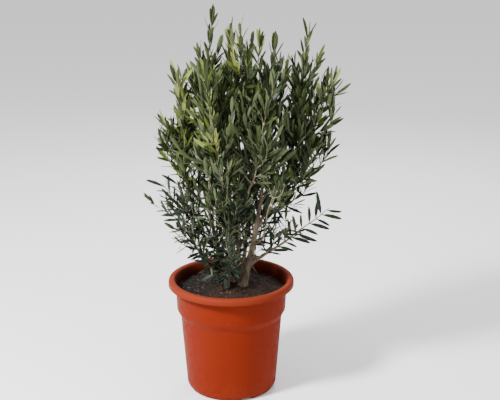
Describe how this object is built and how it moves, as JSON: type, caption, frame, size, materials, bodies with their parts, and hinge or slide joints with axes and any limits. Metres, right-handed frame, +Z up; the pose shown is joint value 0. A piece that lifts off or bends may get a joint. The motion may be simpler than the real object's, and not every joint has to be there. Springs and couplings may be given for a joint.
{
  "type": "potted olive tree",
  "caption": "Bushy young olive tree with several slim stems and a dense crown of narrow leaves, standing in a round rimmed plastic nursery pot filled with soil.",
  "frame": {"origin": "centre of the pot's flat underside", "axes": "+Z up along the pot's axis, +X to the right seen from the front, front is -Y"},
  "size_m": [0.586, 0.4218, 1.1696],
  "materials": {
    "pot": "satin",
    "soil": "matt, crumbly",
    "bark": "matt, finely fissured",
    "foliage": "satin leaves"
  },
  "bodies": {
    "root": {"pot": "pot", "soil": "soil", "stem_right": "bark", "stem_middle": "bark", "stem_left": "bark", "stem_back": "bark", "stem_front": "bark", "bough_top_left": "bark", "foliage_top_left": "foliage", "bough_top_middle": "bark", "foliage_top_middle": "foliage", "bough_top_right": "bark", "foliage_top_right": "foliage", "bough_top_inner_right": "bark", "foliage_top_inner_right": "foliage", "bough_top_back": "bark", "foliage_top_back": "foliage", "bough_upper_left": "bark", "foliage_upper_left": "foliage", "bough_upper_right": "bark", "foliage_upper_right": "foliage", "bough_front_left": "bark", "foliage_front_left": "foliage", "bough_front_right": "bark", "foliage_front_right": "foliage", "bough_back_left": "bark", "foliage_back_left": "foliage", "bough_back_right": "bark", "foliage_back_right": "foliage", "bough_heart": "bark", "foliage_heart": "foliage", "bough_inner_left": "bark", "foliage_inner_left": "foliage", "bough_inner_right": "bark", "foliage_inner_right": "foliage", "bough_middle_left": "bark", "foliage_middle_left": "foliage", "bough_middle_right": "bark", "foliage_middle_right": "foliage", "bough_lower_left": "bark", "foliage_lower_left": "foliage", "bough_lower_front": "bark", "foliage_lower_front": "foliage", "bough_lower_front_right": "bark", "foliage_lower_front_right": "foliage", "bough_lower_back": "bark", "foliage_lower_back": "foliage", "bough_foot_left": "bark", "foliage_foot_left": "foliage", "bough_lower_right": "bark", "foliage_lower_right": "foliage", "bough_foot_right": "bark", "foliage_foot_right": "foliage"}
  },
  "joints": []
}
